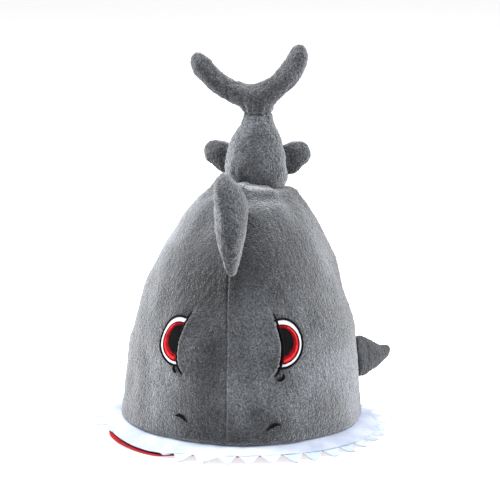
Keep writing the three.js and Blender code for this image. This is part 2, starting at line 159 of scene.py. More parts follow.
def oval(centre, across, deep, a, b, count=24, power=1.0):
    angle = np.arange(count) / count * TAU
    c, s = np.cos(angle), np.sin(angle)
    c, s = np.sign(c) * np.abs(c) ** power, np.sign(s) * np.abs(s) ** power
    return centre + np.outer(c * a, across) + np.outer(s * b, deep)


def points_of(obj):
    n = len(obj.data.vertices)
    co, no = np.empty(n * 3), np.empty(n * 3)
    obj.data.vertices.foreach_get("co", co)
    obj.data.vertices.foreach_get("normal", no)
    return co.reshape(-1, 3) / MM, no.reshape(-1, 3)


def set_points(obj, p):
    obj.data.vertices.foreach_set("co", (p * MM).ravel())
    obj.data.update()


def bake(obj):
    """Apply the object's modifiers to its mesh, and leave none on it."""
    graph = bpy.context.evaluated_depsgraph_get()
    made = bpy.data.meshes.new_from_object(obj.evaluated_get(graph))
    old = obj.data
    obj.modifiers.clear()
    obj.data = made
    made.name = obj.name
    if old.users == 0:
        bpy.data.meshes.remove(old)
    made.polygons.foreach_set("use_smooth", [True] * len(made.polygons))
    made.update()


# ---------------------------------------------------------------- materials


class Nodes:
    """A short way to write one material's node tree."""

    def __init__(self, name):
        self.material = bpy.data.materials.new(name)
        self.material.use_nodes = True
        self.tree = self.material.node_tree
        self.shader = self.tree.nodes["Principled BSDF"]
        self.where = self.tree.nodes.new("ShaderNodeTexCoord").outputs["Object"]

    def node(self, kind, inputs=None, **props):
        made = self.tree.nodes.new(kind)
        for key, value in props.items():
            setattr(made, key, value)
        for key, value in (inputs or {}).items():
            if isinstance(value, bpy.types.NodeSocket):
                self.tree.links.new(value, made.inputs[key])
            else:
                made.inputs[key].default_value = value
        return made

    def noise(self, size, detail=2.0, rough=0.5, stretch=(1, 1, 1), warp=0.0):
        """Noise with features of about this size in mm."""
        at = self.node("ShaderNodeVectorMath", {0: self.where, 1: stretch}, operation="MULTIPLY")
        inputs = {"Vector": at.outputs[0], "Scale": 1000 / size, "Detail": detail}
        inputs.update(Roughness=rough, Distortion=warp)
        return self.node("ShaderNodeTexNoise", inputs).outputs["Fac"]

    def math(self, operation, a, b=0.0):
        return self.node("ShaderNodeMath", {0: a, 1: b}, operation=operation).outputs[0]

    def ramp(self, fac, stops):
        made = self.node("ShaderNodeValToRGB", {"Fac": fac})
        ramp = made.color_ramp
        while len(ramp.elements) < len(stops):
            ramp.elements.new(0.5)
        for element, (at, colour) in zip(ramp.elements, stops):
            element.position = at
            element.color = (*colour, 1)
        return made.outputs["Color"]

    def mix(self, fac, a, b, blend="MIX"):
        made = self.node("ShaderNodeMix", {"Factor": fac}, data_type="RGBA", blend_type=blend)
        for slot, value in ((6, a), (7, b)):
            if isinstance(value, bpy.types.NodeSocket):
                self.tree.links.new(value, made.inputs[slot])
            else:
                made.inputs[slot].default_value = (*value, 1)
        return made.outputs[2]

    def bump(self, height, strength, distance_mm, normal=None):
        inputs = {"Height": height, "Strength": strength, "Distance": distance_mm * MM}
        if normal is not None:
            inputs["Normal"] = normal
        return self.node("ShaderNodeBump", inputs).outputs["Normal"]

    def link(self, value, socket):
        self.tree.links.new(value, self.shader.inputs[socket])

    def set(self, **values):
        for key, value in values.items():
            self.shader.inputs[key.replace("_", " ")].default_value = value


def srgb(*levels):
    return tuple(
        v / 12.92 if v <= 0.04045 else ((v + 0.055) / 1.055) ** 2.4
        for v in (level / 255 for level in levels)
    )


def plush(name, dark, mid, light, sheen, painted_patches=()):
    """Short pile fabric: brushed patches, tufts with painted shade darkening the gaps between them, and a
    soft bloom.

    Each painted patch gives a place and a reach in metres, and the level of painted shade (below one) or
    painted light (above one) on the pile there."""
    n = Nodes(name)
    brushed = n.noise(85, 2, 0.5, (1, 1, 0.6), 0.5)
    patches = n.noise(24, 2, 0.5, (1, 1, 0.7), 0.5)
    tufts = n.noise(4.2, 2, 0.6, (1, 1, 1), 0.6)
    from_gap = n.math("ABSOLUTE", n.math("SUBTRACT", tufts, 0.5))
    gaps = n.math("MINIMUM", n.math("MULTIPLY", from_gap, 8.0), 1.0)
    fibres = n.noise(1.6, 2, 0.6)
    cloud = n.math("ADD", n.math("MULTIPLY", brushed, 0.75), n.math("MULTIPLY", patches, 0.25))
    colour = n.ramp(cloud, [(0.32, dark), (0.5, mid), (0.68, light)])
    # fibre grain, then painted shade darkening the gaps between tufts
    for fac, stops in (
        (fibres, [(0.34, (0.4, 0.4, 0.41)), (0.5, (0.97,) * 3), (0.66, (1.6,) * 3)]),
        (gaps, [(0.0, (0.62, 0.62, 0.63)), (0.4, (0.98,) * 3), (1.0, (1.08,) * 3)]),
    ):
        colour = n.mix(1.0, colour, n.ramp(fac, stops), "MULTIPLY")
    # painted shade and painted light: each patch darkens or lightens the pile colour round its place
    for place, reach, level in painted_patches:
        away = n.node("ShaderNodeVectorMath", {0: n.where, 1: place}, operation="DISTANCE")
        share = n.math("DIVIDE", away.outputs["Value"], reach)
        painted_level = n.ramp(share, [(0.2, (level,) * 3), (1.0, (1.0,) * 3)])
        colour = n.mix(1.0, colour, painted_level, "MULTIPLY")
    n.link(colour, "Base Color")
    normal = n.bump(patches, 0.3, 1.4)
    normal = n.bump(gaps, 0.5, 0.7, normal)
    n.link(n.bump(fibres, 1.0, 1.5, normal), "Normal")
    n.set(Roughness=0.92, Sheen_Weight=sheen, Sheen_Roughness=0.45, Specular_IOR_Level=0.1)
    n.shader.inputs["Sheen Tint"].default_value = (0.93, 0.95, 0.98, 1)
    return n.material


def felt(name, base, shade, fibre=1.0):
    """Pressed or brushed white cloth with a faint fibre texture."""
    n = Nodes(name)
    broad = n.noise(26, 3, 0.5)
    fine = n.noise(1.1, 3, 0.7, (1, 1, 1), 1.5)
    colour = n.ramp(broad, [(0.35, shade), (0.62, base)])
    speck = n.ramp(fine, [(0.3, (0.93, 0.93, 0.94)), (0.7, (1.03, 1.03, 1.03))])
    n.link(n.mix(1.0, colour, speck, "MULTIPLY"), "Base Color")
    normal = n.bump(broad, 0.2, 1.0)
    n.link(n.bump(fine, 0.5 * fibre, 0.25, normal), "Normal")
    n.set(Roughness=0.9, Sheen_Weight=0.08, Sheen_Roughness=0.5, Specular_IOR_Level=0.1)
    return n.material


WEAVE_SCALE = 288.6  # about one thread a millimetre


def woven(name, base, dark):
    """Plain woven lining cloth with a slight lustre."""
    n = Nodes(name)
    threads = []
    for direction in ("X", "Y", "Z"):
        wave = n.node(
            "ShaderNodeTexWave",
            {"Vector": n.where, "Scale": WEAVE_SCALE, "Distortion": 0.6, "Detail": 1.0},
            bands_direction=direction,
        )
        threads.append(wave.outputs["Fac"])
    weave = n.math("MULTIPLY", n.math("ADD", threads[0], threads[1]), threads[2])
    broad = n.noise(30, 3, 0.5)
    colour = n.ramp(broad, [(0.35, dark), (0.65, base)])
    speck = n.ramp(weave, [(0.1, (0.78, 0.78, 0.78)), (0.9, (1.08, 1.08, 1.08))])
    n.link(n.mix(0.8, colour, speck, "MULTIPLY"), "Base Color")
    normal = n.bump(broad, 0.35, 1.5)
    n.link(n.bump(weave, 0.35, 0.2, normal), "Normal")
    n.set(Roughness=0.6, Specular_IOR_Level=0.2)
    return n.material


def thread(name, base, dark, shine=0.62):
    """Lustrous embroidery thread; the strands themselves are modelled."""
    n = Nodes(name)
    broad = n.noise(5, 2, 0.5)
    twist = n.noise(0.35, 2, 0.6)
    colour = n.ramp(broad, [(0.3, dark), (0.7, base)])
    speck = n.ramp(twist, [(0.3, (0.8, 0.8, 0.8)), (0.7, (1.1, 1.1, 1.1))])
    n.link(n.mix(0.7, colour, speck, "MULTIPLY"), "Base Color")
    n.link(n.bump(twist, 0.4, 0.12), "Normal")
    n.set(Roughness=shine, Specular_IOR_Level=0.06)
    return n.material


# Painted shade and painted light on the grey cover's pile: darker on the face, lighter high on the sides
# and the stalk
PAINTED_LIGHT_AND_SHADE = [
    ((0.0, -0.1, 0.165), 0.11, 0.46),
    ((-0.07, -0.03, 0.205), 0.08, 1.45),
    ((0.016, -0.02, 0.3), 0.06, 1.3),
    ((0.085, -0.03, 0.19), 0.06, 1.25),
]
GREY = plush("plush_grey", srgb(40, 41, 43), srgb(64, 66, 69), srgb(98, 101, 106), 0.6, PAINTED_LIGHT_AND_SHADE)
DARK = plush("plush_fin", srgb(46, 47, 49), srgb(60, 62, 65), srgb(80, 82, 86), 0.45)
# a darker, duller copy of the fin plush: painted shade for the pectoral fins, which lie on the shadow side
SHADED = plush("plush_fin_painted_shade", srgb(30, 31, 33), srgb(39, 40, 43), srgb(50, 52, 55), 0.22)
LIP = felt("lip_cloth", srgb(158, 165, 180), srgb(142, 149, 166), 0.7)
FELT = felt("tooth_felt", srgb(160, 170, 184), srgb(144, 154, 169))
LINING = woven("red_lining", srgb(150, 10, 18), srgb(104, 5, 11))
WADDING = felt("wadding_fibre", srgb(240, 240, 236), srgb(222, 222, 216), 2.0)
BLACK = thread("thread_black", srgb(4, 4, 5), srgb(2, 2, 3))
WHITE = thread("thread_white", srgb(222, 224, 230), srgb(200, 203, 212))
RED = thread("thread_red", srgb(150, 5, 12), srgb(104, 2, 8))
MAROON = thread("thread_maroon", srgb(78, 3, 10), srgb(52, 2, 7))
PINK = thread("thread_pink", srgb(206, 50, 56), srgb(184, 26, 34))
CHARCOAL = thread("thread_charcoal", srgb(12, 13, 15), srgb(7, 8, 9), 0.7)

# ---------------------------------------------------------------- the dome

WALL = 13.6  # cover and wadding, from the plush face to the lining
FULLNESS = 0.91
FACETS = 36
_, lining_high = box_mm("mouth_lining")
R = lining_high[1] / math.cos(math.pi / FACETS) + WALL
H = lining_high[2] + WALL
TAIL, _ = joint("tail_stalk_flop")
NECK, _ = joint("tail_fin_wag")
LEAN = TAIL[0] - 4.5  # sideways slump at the crown
EYE_AT = 28.6  # degrees round from the face
EYE_Z = 110.0
EYE_ARC = 112.0  # the dome's radius at the eyes
DORSAL_AT = -4.5  # degrees: the fin's root, round from the face
COVER_TOP = math.radians(88.6)  # the cover and the shells under it close just short of the pole
SHELL_TOP = math.radians(88.5)


def lean(z):
    return LEAN * np.clip(z / H, 0, 1) ** 1.5


def dome_base(theta, z, depth=0.0):
    station = np.arcsin(np.clip(z / H, 0, 0.99999))
    wide = (R - depth) * np.cos(station) ** FULLNESS
    tall = (H - depth) * np.sin(station)
    return np.stack([wide * np.sin(theta) + lean(z), -wide * np.cos(theta), tall], -1)


def dome_normal(theta, z):
    station = np.arcsin(np.clip(z / H, 0, 0.9999))
    step = 0.004
    z0, z1 = H * np.sin(station - step), H * np.sin(np.minimum(station + step, math.pi / 2 - 1e-3))
    up = dome_base(theta, z1) - dome_base(theta, z0)
    side = dome_base(theta + step, z) - dome_base(theta - step, z)
    return unit(np.cross(side, up))


def seam_angle(z):
    """The face seam wanders from the middle of the rim to the foot of the dorsal fin."""
    return np.radians(DORSAL_AT) * smooth(z, 95, 175) + 0.010 * np.sin(z / 21) - 0.010


# Edge of the brow fold, in millimetres out from and up from the middle of the eye.
FOLD_V = [-40, -31, -28, -22, -12, 0, 10, 24, 29, 42]
FOLD_U = [-20, -15.6, -12.6, -9.6, -7.1, -6.9, -9.1, -13.9, -16.1, -24]
FOLD_HIGH = 4.3
FOLD_SHIFT = {-1: 2.2, 1: 0.0}  # the two folds were not sewn quite alike
EYE_SHIFT = {-1: 0.8, 1: -1.8}  # nor were the two eyes set quite alike


def eye_plane(theta, z):
    u = (np.abs(theta) - math.radians(EYE_AT)) * EYE_ARC
    return u, (z - EYE_Z)


def brow(theta, z):
    """The pinched fold of cloth that hides the inner part of each eye."""
    u, v = eye_plane(theta, z)
    w = u - np.interp(v, FOLD_V, FOLD_U) - np.where(theta < 0, FOLD_SHIFT[-1], FOLD_SHIFT[1])
    window = smooth(v, -40, -20) * (1 - smooth(v, 17, 36))
    ridge = np.where(w < 0, np.exp(w / 13), np.exp(-((w / 1.5) ** 2)))
    pinch = np.exp(-(((w - 2.2) / 2.2) ** 2)) * 1.1
    return window * (FOLD_HIGH * ridge - pinch)


# Soft dents (and one swelling) in the crown: place across, height, depth, reach, flatness
DENTS = [(30, 243, 3.0, 19, 2.4), (46, 230, -2.0, 12, 1.2), (14, 212, 1.4, 18, 1.5)]


def relief(theta, z, p, folds=True):
    """How far the cover stands out of the plain dome: seams, slack cloth, and the folds if asked."""
    d = np.abs(theta - seam_angle(z)) * R
    d = np.minimum(d, (math.pi - np.abs(theta)) * R)
    out = -1.0 * np.exp(-((d / 1.2) ** 2)) + 0.8 * np.exp(-((d / 11) ** 2))
    out += 1.5 * waves(p, 95, 3) + 0.6 * waves(p, 38, 4)
    # the sides are drawn in at mid height, and the +X side swells above the rim
    around = np.sin(theta)
    out -= (1.9 + 0.8 * around) * np.abs(around) * np.exp(-(((z - 165) / 50) ** 2))
    out += (0.6 + 1.4 * around) * np.exp(-(((z - 35) / 25) ** 2))
    if folds:
        out += brow(theta, z)
        out += 0.14 * waves(p, 5.5, 5) + 0.10 * waves(p, 2.6, 6)
    # slack cloth gathered round the foot of the tail, most in front
    away = np.hypot(p[..., 0] - TAIL[0], p[..., 1] - TAIL[1])
    round_tail = np.arctan2(p[..., 1] - TAIL[1], p[..., 0] - TAIL[0])
    front = 1 - smooth(p[..., 1], -4, 14)
    gather = smooth(z, H - 45, H - 22) * np.exp(-(((away - 44) / 22) ** 2)) * (0.35 + 0.65 * front)
    out += gather * (1.5 * np.sin(6 * round_tail + 0.05 * away) + 0.7 * np.sin(13 * round_tail + 2))
    # a roll of cloth where the crown meets the stalk
    out += 4.4 * front * np.exp(-(((away - 36) / 6.5) ** 2)) * smooth(z, H - 40, H - 14)
    for side_at, drop_at, depth, wide, squash in DENTS:
        far = np.hypot(p[..., 0] - side_at, (p[..., 2] - drop_at) * squash)
        out -= depth * np.exp(-((far / wide) ** 2)) * (p[..., 1] < 0)
    return out


def surface(theta, z, off=0.0, folds=True):
    base = dome_base(theta, z)
    normal = dome_normal(theta, z)
    return base + normal * (relief(theta, z, base, folds) + off)[..., None], normal


def rim(theta):
    """Height of the cover's lower edge."""
    return 13.6 + 1.2 * np.cos(theta) - 1.8 * np.sin(theta)


HEM_SUNK = 1.4  # how far the cover's edge sits down into the lip
HEM_TURN, HEM_ROUND = 3.4, 5.0  # the lower edge curls in by this, over this height
SEAM_TURN = 1.1
PILE_ROUGH = 0.13


def dome_half(side):
    cols, rows = 300, 190
    across = np.linspace(0, 1, cols)
    top = H * math.sin(COVER_TOP)
    station = np.linspace(0, 1, rows)[:, None]
    rough_theta = side * across[None, :] * math.pi
    low = rim(rough_theta) - HEM_SUNK
    angle = np.arcsin(low / H) + (math.asin(top / H) - np.arcsin(low / H)) * station
    z = H * np.sin(angle)
    start = seam_angle(z)
    theta = start + (side * math.pi - start) * across[None, :]
    p, normal = surface(theta, z)
    # the lower edge turns in under itself, and both seam edges turn in
    edge = np.clip(1 - (z - low) / HEM_ROUND, 0, 1) ** 2
    p -= normal * (HEM_TURN * edge)[..., None]
    seam = np.zeros_like(z)
    seam[:, 0] = seam[:, -1] = SEAM_TURN
    p -= normal * seam[..., None]
    radial = unit(np.stack([np.sin(theta[0]), -np.cos(theta[0]), np.zeros(cols)], -1))
    hem = [p[0] - radial * inwards + [0, 0, up] for inwards, up in ((5.5, 3.0), (3.0, 0.4))]
    p = np.concatenate([hem, p])
    rows += 2
    faces = grid_faces(rows, cols, flip=side < 0)
    name = "head_cover_" + ("left" if side < 0 else "right")
    obj = new_object(name, p.reshape(-1, 3), faces, GREY)
    pts, no = points_of(obj)
    set_points(obj, pts + no * RNG.normal(0, PILE_ROUGH, (len(pts), 1)))
    return obj


def on_head(obj, nodes):
    if nodes:
        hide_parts(*nodes)
    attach(obj, "head")


for side, word in SIDES:
    on_head(dome_half(side), ["body_panel_" + word])


def dome_shell(name, outer, inner, low_z, cols, rows, material, lumps, follow=0.0):
    """A closed wall between two depths, open underneath. Its outside may follow the cover's relief."""
    theta = np.linspace(-math.pi, math.pi, cols, endpoint=False)[None, :] + np.zeros((rows, 1))
    layers = []
    for depth, order in ((outer, 1), (inner, -1)):
        t = np.linspace(0, 1, rows)[:, None]
        start = math.asin(low_z / (H - depth))
        angle = start + (SHELL_TOP - start) * t + 0 * theta
        p = dome_base(theta, H * np.sin(angle), depth)
        normal = dome_normal(theta, H * np.sin(angle))
        swell = lumps * waves(p, 24, 11) + 0.4 * lumps * waves(p, 9, 12)
        if order == 1 and follow:
            above = dome_base(theta, H * np.sin(angle))
            over = relief(theta, H * np.sin(angle), above, folds=False)
            swell = swell + np.clip(over, -follow, 1.0)
        p = p + normal * swell[..., None]
        layers.append(p[::order])
    return new_object(name, *loft(np.concatenate([layers[1], layers[0]])), material)


WADDING_OUT, WADDING_IN, WADDING_LOW, WADDING_GIVE = 6.2, 12.6, 12.0, 5.0
LINING_THICK, LINING_LOW = 1.0, 3.0
wadding = dome_shell(
    "wadding_layer", WADDING_OUT, WADDING_IN, WADDING_LOW, 180, 90, WADDING, 0.2, WADDING_GIVE
)
on_head(wadding, ["body_wadding"])
lining = dome_shell("red_head_lining", WALL, WALL + LINING_THICK, LINING_LOW, 240, 90, LINING, 0.6)
on_head(lining, ["mouth_lining"])

# ---------------------------------------------------------------- brim

_, lip_high = box_mm("lip_band")
_, tooth_high = box_mm("teeth_strip")
LIP_R = lip_high[1] / math.cos(math.pi / FACETS)
TIP_R = tooth_high[1]
TEETH = 40
TOOTH = TIP_R - LIP_R
TEETH_IN, FACING_IN, LIP_IN, END_IN = R - 2.0, R - 12.4, R - 7.5, R + 8  # inner edges of the rings
FELT_THICK, FACING_THICK = 0.95, 0.9
TEETH_UP, END_UP, FACING_UP, LIP_UP = 2.6, 3.8, 0.15, 3.3  # under sides, above the floor
HANG = 1.25  # the teeth drop this many times as far as the lip is raised
TUCK_AT, TUCK_SPAN = -44.0, 22.0  # degrees: this stretch of teeth is tucked under the lip


def degrees_of(theta):
    return (np.degrees(theta) + 180) % 360 - 180


def tuck(theta):
    return np.exp(-(((degrees_of(theta) - TUCK_AT) / TUCK_SPAN) ** 6))


CURL_UP = 11.5
FRONT_UP = 2.8


def lift(theta):
    """The brim curls up off the floor on the -X side."""
    deg = degrees_of(theta)
    raised = smooth(-deg, 34, 84) * (1 - smooth(-deg, 122, 172))
    return CURL_UP * raised + 0.5 * (1 + np.sin(3 * theta + 1)) + 0.35 * (1 + np.sin(7 * theta))


def front_rise(theta):
    """In front the lip stands a little off the floor and the teeth hang down from it."""
    return FRONT_UP * smooth(np.cos(theta), 0.1, 0.8) * (1 - tuck(theta))


SHARP = 38  # degrees: edges turned more than this look cut, not rounded


def ring_sheet(name, theta, r_in, r_out, rows, height, thick, material):
    """A flat ring of cloth with real thickness. height(theta, r) is its lower face."""
    t = np.linspace(0, 1, rows)[:, None]
    r = r_in + (r_out - r_in) * t
    x, y = r * np.sin(theta), -r * np.cos(theta)
    z = height(theta, r)
    top = np.stack([x, y, z + thick], -1)
    low = np.stack([x, y, z], -1)[::-1]
    verts = np.concatenate([low, top]).reshape(-1, 3)
    return new_object(name, verts, wrapped_faces(2 * rows, len(theta)), material, SHARP)


def brim_height(theta, r, base):
    out = smooth(r, R - 4, LIP_R + 6)
    return base + lift(theta) * (0.75 + 0.25 * out) + front_rise(theta)


STEPS = 16
PHASE = math.radians(5.6)
tooth_theta = np.arange(TEETH * STEPS) / (TEETH * STEPS) * TAU - math.pi + PHASE
which = np.arange(TEETH * STEPS) // STEPS
within = (np.arange(TEETH * STEPS) % STEPS) / STEPS
length = TOOTH * RNG.uniform(0.94, 1.12, TEETH)
skew = RNG.uniform(-0.12, 0.12, TEETH)
curl = RNG.uniform(-0.5, 0.9, TEETH)
peak = 0.5 + skew[which]
wave = np.where(within < peak, within / peak, (1 - within) / (1 - peak))
gum = LIP_R - 0.2 + 2.4 * np.clip(np.sin(tooth_theta), 0, 1)
reach = gum + length[which] * wave * (1 - 0.93 * tuck(tooth_theta))


def tooth_height(theta, r):
    past = smooth(r, LIP_R - 0.5, TIP_R)
    droop = 2.3 - 1.2 * curl[which] + front_rise(theta) * HANG
    return np.maximum(brim_height(theta, r, TEETH_UP) - past * droop, 0.1)


teeth = ring_sheet("felt_teeth", tooth_theta, TEETH_IN, reach, 9, tooth_height, FELT_THICK, FELT)
on_head(teeth, ["teeth_strip"])


END_AT, END_HALF = math.radians(-6.5), math.radians(4.6)


def strip_end():
    """The strip's other end lies over the first for a tooth's width."""
    cols = 25
    theta = np.linspace(END_AT - END_HALF, END_AT + END_HALF, cols)
    t = np.linspace(0, 1, cols)
    peak = 0.42
    wave = np.where(t < peak, t / peak, (1 - t) / (1 - peak) * 0.62 + 0.38)
    r_out = LIP_R - 1 + (TOOTH - 0.4) * wave
    rows = 7
    s = np.linspace(0, 1, rows)[:, None]
    r = END_IN + (r_out - END_IN) * s
    droop = (1.9 + HANG * front_rise(theta)) * smooth(r, LIP_R - 3, TIP_R)
    z = brim_height(theta, r, END_UP) - droop
    top = np.stack([r * np.sin(theta), -r * np.cos(theta), z + FELT_THICK], -1)
    low = top - [0, 0, FELT_THICK]
    verts = np.concatenate([low[::-1], top]).reshape(-1, 3)
    faces = wrapped_faces(2 * rows, cols, closed=False)
    for column in (0, cols - 1):
        cap = [i * cols + column for i in range(2 * rows)]
        faces.append(cap if column == 0 else cap[::-1])
    return new_object("felt_teeth_end", verts, faces, FELT, SHARP)


end_piece = strip_end()
on_head(end_piece, ["teeth_strip_end"])

facing_theta = np.linspace(-math.pi, math.pi, 360, endpoint=False)
facing_out = LIP_R - 5.0 + 10.0 * tuck(facing_theta) + 0.5 * np.sin(11 * facing_theta)


def facing_height(theta, r):
    return brim_height(theta, r, FACING_UP)


facing_in = np.full(len(facing_theta), FACING_IN)
facing = ring_sheet(
    "red_brim_facing", facing_theta, facing_in, facing_out, 12, facing_height, FACING_THICK, LINING
)
on_head(facing, ["brim_facing"])


def lip_roll():
    """The smooth white lip: a soft band from under the plush rim down to the teeth."""
    cols = 480
    theta = np.linspace(-math.pi, math.pi, cols, endpoint=False)
    z_in = rim(theta) - 0.4
    z_out = brim_height(theta, LIP_R, LIP_UP)
    crease = 0.35 * np.sin(23 * theta + 2 * np.sin(5 * theta)) + 0.3 * np.sin(41 * theta)
    puff = 2.0 + 0.45 * np.sin(4 * theta + 1) + crease * 0.55
    outer = LIP_R + 0.4 * np.sin(9 * theta) + 0.8 * tuck(theta) + 2.2 * np.clip(np.sin(theta), 0, 1)
    inner = LIP_IN
    rows = []
    for t in np.linspace(0, 1, 13):
        r = inner + (outer - inner) * t
        z = z_in + (z_out - z_in) * smooth(t, -0.15, 1.05) ** 0.85
        z = z + puff * math.sin(math.pi * min(1, t * 1.02)) ** 0.8 * (0.35 + 0.65 * t)
        z = z - 0.45 * np.exp(-(((t - 0.86) / 0.035) ** 2))
        rows.append((r, z))
    rows.append((outer + 0.7, z_out + 0.1))
    rows.append((outer - 0.2, z_out - 0.45 + 0 * theta))
    for t in (0.75, 0.45, 0.15):
        r = inner + (outer - inner) * t
        rows.append((r, z_out - 0.1 + (z_in - z_out - 2.0).clip(0) * (1 - t) ** 1.5))
    grid = np.stack(
        [np.stack([r * np.sin(theta), -r * np.cos(theta), z + 0 * theta], -1) for r, z in rows]
    )
    obj = new_object("white_lip", grid[::-1].reshape(-1, 3), wrapped_faces(len(rows), cols), LIP)
    pts, no = points_of(obj)
    set_points(obj, pts + no * (0.25 * waves(pts, 14, 21))[:, None])
    return obj


lip = lip_roll()
on_head(lip, ["lip_band"])


# ---------------------------------------------------------------- stuffed pieces

Stuffed = namedtuple("Stuffed", "obj start held cap nodes slot")
Root = namedtuple("Root", "at chord across out")
stuffed = []
SEWN = 1.7  # half width of the sewn edge, which the stuffing can't push out
EASE = 0.04  # the panels are cut this share larger than the form
CLOSE_CAP = 1.0  # pieces capped at this or less are cut closer to their form
SLACK = 0.86  # share of its full thickness that a fin has before it is blown up
CLOTH_FRAMES = 16
CLOTH = {
    "quality": 4,
    "mass": 0.0003,
    "use_pressure": True,
    "uniform_pressure_force": 20,
    "tension_stiffness": 0.6,
    "compression_stiffness": 0.6,
    "shear_stiffness": 0.3,
    "bending_stiffness": 0.02,
    "vertex_group_mass": "held",
}


def stuff(name, solids, voxel, pinned, seam, cap, nodes, slot, material=DARK):
    """A sewn and stuffed form: remeshed evenly here, then blown up together with the others."""
    verts, faces = join(solids)
    obj = new_object(name, verts, faces, material)
    remesh = obj.modifiers.new("remesh", "REMESH")
    remesh.mode = "VOXEL"
    remesh.voxel_size = voxel * MM
    even = obj.modifiers.new("even", "SMOOTH")
    even.factor = 0.5
    even.iterations = 9
    bake(obj)
    if not obj.data.materials:
        obj.data.materials.append(material)
    start, normal = points_of(obj)
    at, across = seam
    sewn_edge = (np.abs((start - at) @ across) < SEWN) & (np.abs(normal @ across) < 0.6)
    held = np.maximum(pinned(start), sewn_edge)
    stuffed.append(Stuffed(obj, start, held, cap, nodes, slot))
    return obj


def blow_up():
    """One short cloth run for every stuffed piece, then each is capped, applied and subdivided."""
    scene = bpy.context.scene
    for piece in stuffed:
        group = piece.obj.vertex_groups.new(name="held")
        for index in np.nonzero(piece.held > 0)[0]:
            group.add([int(index)], float(piece.held[index]), "REPLACE")
        cloth = piece.obj.modifiers.new("cloth", "CLOTH")
        for key, value in CLOTH.items():
            setattr(cloth.settings, key, value)
        cloth.settings.shrink_min = -EASE if piece.cap > CLOSE_CAP else -EASE / 4
        cloth.settings.effector_weights.gravity = 0
        cloth.collision_settings.use_collision = False
        cloth.point_cache.frame_start = 1
        cloth.point_cache.frame_end = CLOTH_FRAMES
    for step in range(CLOTH_FRAMES):
        scene.frame_set(step + 1)
    graph = bpy.context.evaluated_depsgraph_get()
    blown = [bpy.data.meshes.new_from_object(piece.obj.evaluated_get(graph)) for piece in stuffed]
    scene.frame_set(1)
    for piece, mesh in zip(stuffed, blown):
        piece.obj.modifiers.clear()
        piece.obj.vertex_groups.clear()
        moved = np.empty(len(mesh.vertices) * 3)
        mesh.vertices.foreach_get("co", moved)
        step = moved.reshape(-1, 3) / MM - piece.start
        far = np.linalg.norm(step, axis=1, keepdims=True)
        step *= np.minimum(1, piece.cap / np.maximum(far, 1e-6))
        set_points(piece.obj, piece.start + step)
        bpy.data.meshes.remove(mesh)
        fine = piece.obj.modifiers.new("fine", "SUBSURF")
        fine.levels = fine.render_levels = 1
        bake(piece.obj)


def fin_frame(joint_name, filling):
    """Origin on the root seam, and the directions along it, through it and out of it."""
    at, chord = joint(joint_name)
    low, high = box_mm(filling)
    out = (low + high) / 2 - at
    out = unit(out - chord * (out @ chord))
    return Root(at, chord, np.cross(out, chord), out)


def leaning_frame(joint_name, lean_degrees):
    """The same for a fin that stands out of the dome and leans over towards -X."""
    at, chord = joint(joint_name)
    radial = np.array([at[0] - lean(at[2]), at[1], 0.0])
    out = unit(radial - chord * (radial @ chord))
    side = np.cross(chord, out)
    side = side if side[0] < 0 else -side
    angle = math.radians(lean_degrees)
    out = out * math.cos(angle) + side * math.sin(angle)
    return Root(at, chord, np.cross(out, chord), out)


def fin_rings(root, sections):
    """Rings of a stuffed fin. Each section gives: way out, low edge, high edge, half thickness, drift."""
    rings = []
    for away, low, high, half, drift in sections:
        centre = root.at + root.out * away + root.chord * (low + high) / 2 + root.across * drift
        rings.append(oval(centre, root.chord, root.across, (high - low) / 2, half * SLACK, 28, 0.9))
    return rings


def rounded(sections, extra):
    """Sections filled in smoothly along the fin, with a round tip of this length."""
    s = np.array(sections, float)
    t = np.linspace(0, 1, len(s))
    fine = np.linspace(0, 1, 15)
    rows = np.stack([np.interp(fine, t, s[:, k]) for k in range(5)], -1)
    for _ in range(2):
        rows[1:-1] = (rows[:-2] + 2 * rows[1:-1] + rows[2:]) / 4
    last = rows[-1]
    tip = []
    for a in np.radians([22, 44, 62, 76, 86]):
        middle, half = (last[1] + last[2]) / 2, (last[2] - last[1]) / 2 * math.cos(a)
        away, thick = last[0] + extra * math.sin(a), last[3] * math.cos(a)
        tip.append([away, middle - half, middle + half, thick, last[4]])
    return [*rows, *tip]


def root_held(root, far):
    return lambda p: 1 - smooth((p - root.at) @ root.out, 0, far)


# Dorsal fin: root along the face seam, swept up, flopped a little towards -X
dorsal = leaning_frame("dorsal_fin_flop", 14)
DORSAL_SECTIONS = [
    # away, low, high, half thickness, drift
    (-9, -38, 38, 8.0, -2.5),
    (-2, -39, 39.5, 11.2, -3.0),
    (8, -33, 42, 14.6, -4.0),
    (18, -23, 45, 16.2, -4.2),
    (29, -8, 48, 15.4, -3.8),
    (38, 8, 50, 13.0, -2.6),
    (45, 22, 51.5, 10.2, -1.6),
]
DORSAL_DRIFT = 3.2  # its middle plane lies this far to the +X side of its hinge
dorsal_seam = (dorsal.at - dorsal.across * DORSAL_DRIFT, dorsal.across)
dorsal_obj = stuff(
    "dorsal_fin_cover",
    [loft(fin_rings(dorsal, rounded(DORSAL_SECTIONS, 7)))],
    voxel=2.6,
    pinned=root_held(dorsal, 12),
    seam=dorsal_seam,
    cap=2.6,
    nodes=["dorsal_fin_panel_left", "dorsal_fin_panel_right", "dorsal_fin_filling"],
    slot="dark_plush",
)

